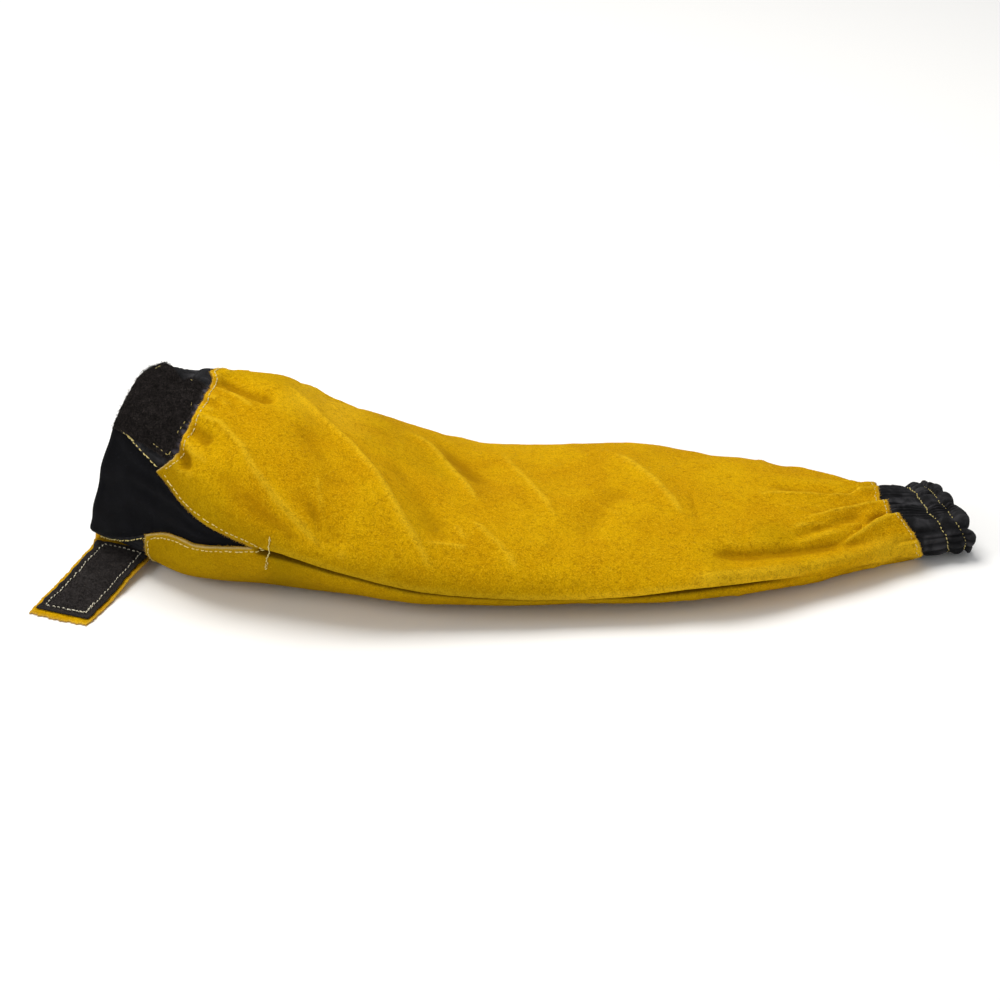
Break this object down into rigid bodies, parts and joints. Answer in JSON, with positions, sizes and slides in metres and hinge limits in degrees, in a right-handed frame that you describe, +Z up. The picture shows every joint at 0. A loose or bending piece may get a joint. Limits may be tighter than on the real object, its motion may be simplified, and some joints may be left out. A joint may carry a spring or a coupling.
{
  "type": "welding sleeve",
  "caption": "Yellow split-leather welding sleeve lying on its side, with a black cloth gusset, elastic wrist band, loop patch and hook strap at the wrist, and a gathered elastic cuff.",
  "frame": {"origin": "middle of the whole sleeve's footprint, on the surface that it lies on", "axes": "+X along the sleeve from the wrist to the upper-arm cuff, +Z up, and the seam, the gusset and the strap on the -Y side"},
  "size_m": [0.6452, 0.2124, 0.1333],
  "materials": {
    "suede": "golden-yellow napped split leather",
    "black_cloth": "black cotton cloth",
    "loop_pile": "fuzzy black loop pile",
    "hook_pile": "charcoal hook tape"
  },
  "bodies": {
    "root": {"leather_body": "suede", "elastic_cuff": "black_cloth", "wrist_band": "black_cloth", "gusset": "black_cloth", "loop_patch": "loop_pile", "strap": "suede", "hook_tape": "hook_pile"}
  },
  "joints": []
}
